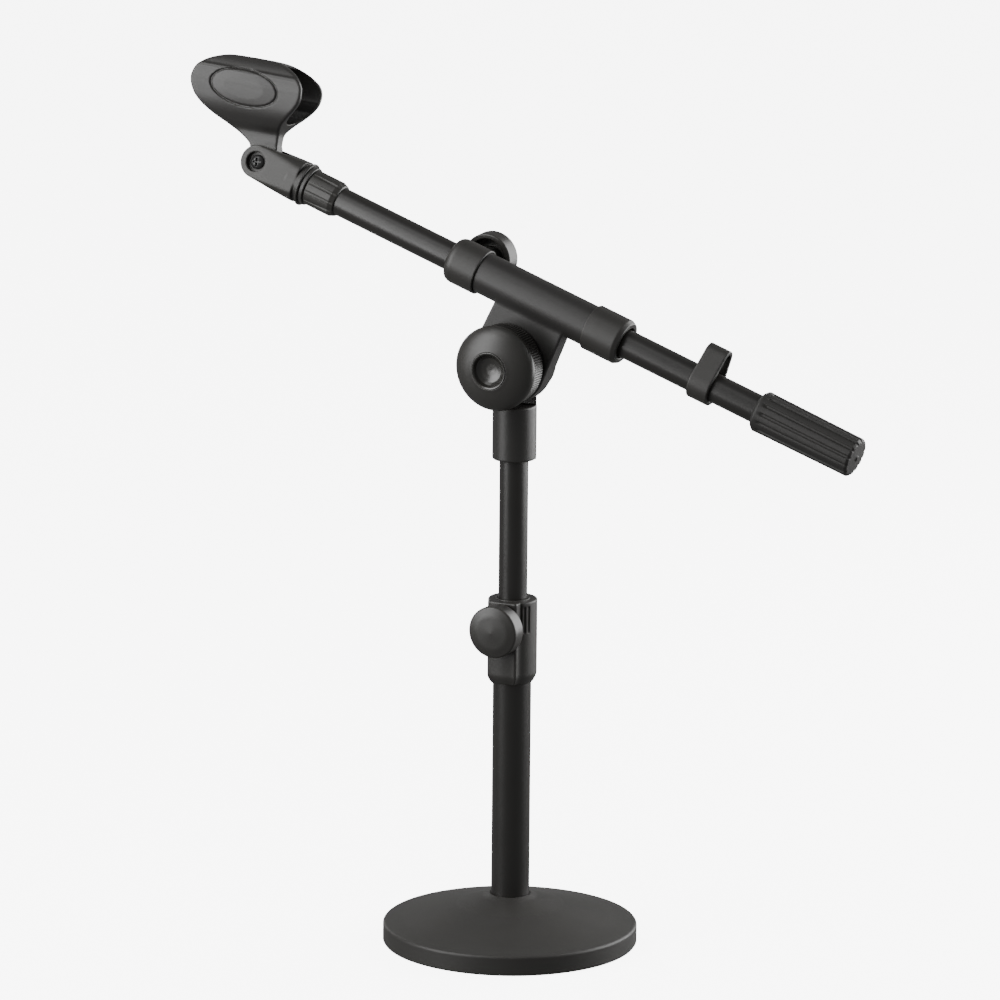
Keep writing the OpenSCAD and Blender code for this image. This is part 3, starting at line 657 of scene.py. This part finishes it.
def grip():
    """Hand grip with lengthwise flutes that fade out before its inner end."""
    start, end = GRIP_START, GRIP_END
    flutes, depth = 14, 0.8
    corners = [
        (TUBE_R + GLUED, start), (10.2, start, 0.4), (11.65, start + 1.6, 1.0),
        (11.55, start + 4.5, 0.5),
        (11.5, start + 6.5, 0.5), (11.1, end - 1.3, 0.4), (10.1, end, 0.9), (3.2, end + 0.25, 2),
        (1.6, end + 0.3, 0.2), (1.4, end + 0.95, 0.3), (0, end + 1.0), (0, end - 3),
        (TUBE_R + GLUED, end - 3),
    ]
    profile = rounded(corners, 5, 0.4)
    spans = 26
    body = []
    for (ra, za), (rb, zb) in zip(profile, profile[1:] + profile[:1]):
        body.append((ra, za))
        if zb - za > 20:
            for k in range(1, spans):
                body.append((ra + (rb - ra) * k / spans, za + (zb - za) * k / spans))

    def flute(angle, radius, height):
        if radius < 8.2 or height < start + 4:
            return radius
        ease = min(1.0, (height - start - 4) / 2.0)
        round_off = min(1.0, (radius - 8.2) / 1.5)
        wave = abs(math.sin(flutes * angle / 2))
        return radius - depth * ease * round_off * math.sqrt(max(0.0, 1 - (wave * 1.7) ** 2))

    verts, faces = turned(body, 448, flute)
    piece("boom_grip_fluted", verts, faces, BOOM, "boom", "grip_rubber", ["boom_grip"], sharp=50)


def cable_clip():
    """Band round the boom with a loop for the cable, leaning back."""
    middle, half, wall, top, rise = 109.0, 6.4, 2.5, 5.7, 16.0
    lean = math.radians(13)
    clay = Clay((middle - 7, -11, -11.5), (middle + 7, 11.5, 23), 0.3)
    x = clay.x
    y = clay.y * math.cos(lean) - clay.z * math.sin(lean)
    z = clay.z * math.cos(lean) + clay.y * math.sin(lean)

    def link(r_low, r_high, low, high):
        """Outline round two circles on Z."""
        slope = (r_low - r_high) / (high - low)
        level = z - low
        t = np.clip((level - np.abs(y) * slope / math.sqrt(1 - slope * slope)) / (high - low), 0, 1)
        return np.hypot(y, level - t * (high - low)) - r_low - (r_high - r_low) * t

    outer = extruded(link(TUBE_R + wall, top, 0, rise), x, middle - half, middle + half, 0.6)
    solid = carve(outer, extruded(link(6, top - wall, 5, rise), x, middle - 20, middle + 20, 0.1), 0.6)
    solid = carve(solid, rod(y, z, x, TUBE_R + RUN, middle - 20, middle + 20, 0.1), 0.4)
    piece("cable_clip_loop", *clay.mesh(solid), SLEEVE, "cable_clip", "clamp_plastic", ["cable_clip"])


# ---------------------------------------------------------------- clip end


def lock_nut():
    """Nut with upright ribs, and the lipped washer between it and the clip base."""
    start, end = NUT_START, NUT_END
    corners = [
        (TUBE_R + RUN, start), (9.6, start, 0.2), (10.1, start + 0.7, 0.3), (10.1, end - 3.2, 0.5),
        (9.0, end - 0.5, 0.5), (TUBE_R + RUN, end, 0.2),
    ]
    ribs, depth = 12, 0.9

    def panel(angle, radius, height):
        if radius < 9.3 or height < start + 2.2:
            return radius
        ease = min(1.0, (height - start - 2.2) / 0.6)
        wave = abs(math.sin(ribs * angle / 2))
        return radius - depth * ease * math.sqrt(max(0.0, 1 - (wave * 2.0) ** 2))

    profile = rounded(corners, 5, 0.35)
    piece("lock_nut_ribbed", *turned(profile, 384, panel), BOOM, "nut", "clamp_plastic", ["lock_nut"])
    flange = ring_profile(TUBE_R + RUN, 11, WASHER_START, WASHER_END, 0.5)
    piece("nut_washer_lip", *turned(flange, 128), BOOM, "nut", "bush_plastic", ["nut_washer"])


def clip_base():
    """Fork at the pivot, round where the stud enters."""
    end = FORK_END
    clay = Clay((-10, -13, -13), (end + 0.5, 13, 13), 0.3)
    x, y, z = clay.x, clay.y, clay.z
    profile = [(0, -9.3), (26.1, -11.8), (26.1, 11.8), (0, 9.3)]
    flat = np.minimum(np.hypot(x, z) - 9.3, outline_distance(x, z, profile))
    ears = extruded(flat, y, -10.5, 10.5, 0.7)
    draw = (np.hypot(y, z) - 13.99 + x * 0.061) * 0.99
    solid = common(ears, draw, 1.0)
    neck = rod(y, z, x, 10.6, 20, end, 0.2)
    lip = rod(y, z, x, 12.3, 28.5, end, 0.45)
    solid = melt(melt(solid, neck, 0.3), lip, 0.3)
    solid = carve(solid, block(x, y, z, (-20, -4.75, -20), (14, 4.75, 20), 0.4), 0.5)
    solid = carve(solid, rod(y, z, x, 9.6, 16, 40, 0.2), 0.3)
    # Pivot hole, with a recess for the screw's head on one side and for its nut on the other
    solid = carve(solid, rod(x, z, y, PIN_HOLE_R, -20, 20, 0.1), 0.2)
    solid = carve(solid, rod(x, z, y, 5.6, -20, -7.4, 0.2), 0.5)
    solid = carve(solid, extruded(hexagon(x, z, 4.25), y, 7.4, 20, 0.2), 0.4)
    piece("clip_base_fork", *clay.mesh(solid), HEAD, "clip_base", "clamp_plastic", ["clip_base"])


def pivot_screw():
    """Pan head with a cross recess."""
    clay = Clay((-4.5, -10, -4.5), (4.5, 9.8, 4.5), 0.16)
    x, y, z = clay.x, clay.y, clay.z
    shank = rod(x, z, y, CLIP_PIN_R, -8, 9.6, 0.3)
    dome = np.sqrt(x * x + z * z + (y + 4.1) ** 2) - 5.6
    head = common(rod(x, z, y, 4.2, -9.7, -7.4, 0.3), dome, 0.5)
    solid = melt(shank, head, 0.2)
    tilt = math.radians(20)
    p = x * math.cos(tilt) + z * math.sin(tilt)
    q = z * math.cos(tilt) - x * math.sin(tilt)
    taper = (y + 9.6) * 0.35
    for a, b in ((p, q), (q, p)):
        arm = np.maximum(np.abs(a) - 2.5 + taper, np.abs(b) - 0.55 + taper * 0.3)
        solid = carve(solid, np.maximum(arm, y + 7.9), 0.2)
    verts, faces = clay.mesh(solid)
    piece("clip_pivot_screw_head", verts, faces, HEAD, "clip_base", "black_steel", ["clip_pivot_screw"])


def mic_clip():
    """Open spring cradle on a neck: two curved walls with an oval line on each."""
    side_view = smooth_outline([
        (-45.7, 39), (-44.4, 45.5), (-39.3, 51.2), (-29.1, 55.6), (-16.4, 57.6), (-4.3, 57.2),
        (6.8, 54.6), (15.4, 50.6), (20.4, 45.6), (21.6, 41), (20.9, 36), (18.2, 31.2), (14.4, 26.6),
        (10.6, 22), (8.4, 17.4), (8.2, 12), (8.6, 5), (7, 0), (0, -2), (-6.6, 0), (-8, 4.5),
        (-8.8, 9.0), (-15.0, 13.6), (-22, 17.2), (-31.5, 22.2), (-38.6, 27.1), (-43.3, 32.4),
    ])
    clay = Clay((-47, -17, -10), (23, 17, 59), 0.36)
    x, y, z = clay.x, clay.y, clay.z
    rise = z - CRADLE_AXIS
    reach = np.hypot(y, rise)
    # Across the clip: a round cradle over an egg-shaped belly on a narrow neck
    belly = smooth_outline(mirrored([
        (4, 2), (4, 10), (4.3, 14.6), (5.4, 17.4), (8.6, 20.5), (12, 24.9), (14.2, 29.7), (15.4, 35),
        (15.9, 39), (15.9, 43), (13, 50),
    ]), 4)
    section = melt(reach - (CRADLE_R + CRADLE_WALL), outline_distance(y, z, belly), 0.6)
    # The oval on each wall is a groove round a low pad
    tip, oval_x, oval_z, oval_long, oval_high = math.radians(-3.5), -12.7, 39.0, 20.3, 9.9
    along = (x - oval_x) * math.cos(tip) + (z - oval_z) * math.sin(tip)
    across = (z - oval_z) * math.cos(tip) - (x - oval_x) * math.sin(tip)
    ratio = np.sqrt((along / oval_long) ** 2 + (across / oval_high) ** 2) + 1e-6
    to_oval = (ratio - 1) * np.hypot(along, across) / ratio
    line = np.hypot(to_oval, section + 0.1) - 0.7
    pad = 0.4 * np.clip(1 - ratio, 0, 0.4) / 0.4 * (np.abs(y) > 5)
    flat = outline_distance(x, z, side_view)
    solid = common(section - pad, flat, 1.5)
    solid = carve(solid, np.where(np.abs(y) > 4.5, line, 5.0), 0.35)
    # Tongue between the fork's ears
    tongue = rod(x, z, y, 9.0, -TONGUE_HALF, TONGUE_HALF, 0.5)
    stem = block(x, y, z, (-7, -TONGUE_HALF, 3), (8.4, TONGUE_HALF, 9.5), 0.4)
    solid = melt(melt(tongue, stem, 0.8), solid, 1.0)
    # Bore, open top and the hollow under it
    bore = reach - CRADLE_R
    mouth = block(x, y, z, (-60, -6.6, CRADLE_AXIS), (40, 6.6, 80), 0.5)
    hollow = mirrored([(1.8, 23.4), (6.2, 24.6), (9.6, 27.8), (11.4, 31.6), (12.1, 37)])
    throat = outline_distance(y, z, hollow)
    solid = carve(solid, melt(np.minimum(bore, mouth), throat, 0.8), 1.1)
    solid = carve(solid, rod(x, z, y, PIN_HOLE_R, -20, 20, 0.1), 0.2)
    piece("mic_clip_spring", *clay.mesh(solid), CLIP, "mic_clip", "clip_plastic", ["mic_clip"])


base_plate()
lower_tube()
height_clamp()
clamp_bush()
thumb_knob("height_knob_round", HEIGHT_KNOB, HEIGHT_KNOB_RIM, "height_knob", ["height_knob"])
sliding_tube()
pivot_socket()
tilt_bolt()
tilt_knob()
bracket()
front_collar()
rear_collar()
thumb_knob("lock_knob_round", LOCK_KNOB, LOCK_KNOB_RIM, "lock_knob", ["lock_knob"])
boom_tube()
grip()
cable_clip()
lock_nut()
clip_base()
pivot_screw()
mic_clip()

# ---------------------------------------------------------------- floor, light and camera


def floor():
    """White sweep under the stand, lit from within so that it stays white up to the horizon."""
    reach, glow = 30.0, 7.0
    corners = [(-reach, -reach, 0), (reach, -reach, 0), (reach, reach, 0), (-reach, reach, 0)]
    mesh = bpy.data.meshes.new("floor")
    mesh.from_pydata(corners, [], [(0, 1, 2, 3)])
    white = bpy.data.materials.new("floor_white")
    white.use_nodes = True
    shader = white.node_tree.nodes["Principled BSDF"]
    shader.inputs["Base Color"].default_value = (0.9, 0.9, 0.9, 1.0)
    shader.inputs["Roughness"].default_value = 0.6
    shader.inputs["Emission Color"].default_value = (1.0, 1.0, 1.0, 1.0)
    shader.inputs["Emission Strength"].default_value = glow
    mesh.materials.append(white)
    obj = bpy.data.objects.new("floor", mesh)
    obj.visible_diffuse = False
    obj.visible_glossy = False
    bpy.context.scene.collection.objects.link(obj)


def softbox(name, spot, aim, size, power):
    """A rectangular area light at spot, in metres, looking at aim."""
    data = bpy.data.lights.new(name, "AREA")
    data.shape = "RECTANGLE"
    data.size, data.size_y = size
    data.energy = power
    obj = bpy.data.objects.new(name, data)
    obj.location = spot
    obj.rotation_euler = (Vector(aim) - Vector(spot)).to_track_quat("-Z", "Y").to_euler()
    bpy.context.scene.collection.objects.link(obj)


def world(strength):
    """Even white light from all round."""
    scene_world = bpy.data.worlds.new("studio")
    scene_world.use_nodes = True
    back = scene_world.node_tree.nodes["Background"]
    back.inputs["Color"].default_value = (1.0, 1.0, 1.0, 1.0)
    back.inputs["Strength"].default_value = strength
    bpy.context.scene.world = scene_world


def camera():
    """Long lens, a little above the stand and turned towards its grip side."""
    azimuth, elevation, roll = math.radians(26.85), math.radians(13.37), math.radians(0.5)
    distance, aim_height, aside = 4.3546, 0.2515, -0.0075
    flat = math.cos(elevation)
    forward = Vector((-flat * math.sin(azimuth), flat * math.cos(azimuth), -math.sin(elevation)))
    level = Vector((math.cos(azimuth), math.sin(azimuth), 0))
    above = level.cross(forward)
    right = level * math.cos(roll) + above * math.sin(roll)
    up = above * math.cos(roll) - level * math.sin(roll)
    data = bpy.data.cameras.new("camera")
    data.lens = 285.9
    data.sensor_width = 36.0
    data.clip_end = 200.0
    obj = bpy.data.objects.new("camera", data)
    turn = Matrix((right, up, -forward)).transposed().to_4x4()
    turn.translation = Vector((0, 0, aim_height)) + level * aside - forward * distance
    obj.matrix_world = turn
    bpy.context.scene.collection.objects.link(obj)
    bpy.context.scene.camera = obj


floor()
world(0.25)
softbox("key_box", (-0.70, -0.90, 0.70), (0, 0, 0.30), (0.7, 1.4), 21.5)
softbox("top_box", (-0.6, -0.8, 2.4), (0, 0, 0.28), (1.4, 1.0), 9.0)
softbox("rim_box", (0.785, 0.84, 0.52), (0, 0, 0.30), (1.5, 1.04), 30.0)
softbox("back_box", (-1.9, 1.4, 0.8), (0, 0, 0.28), (0.4, 1.6), 5.0)
camera()
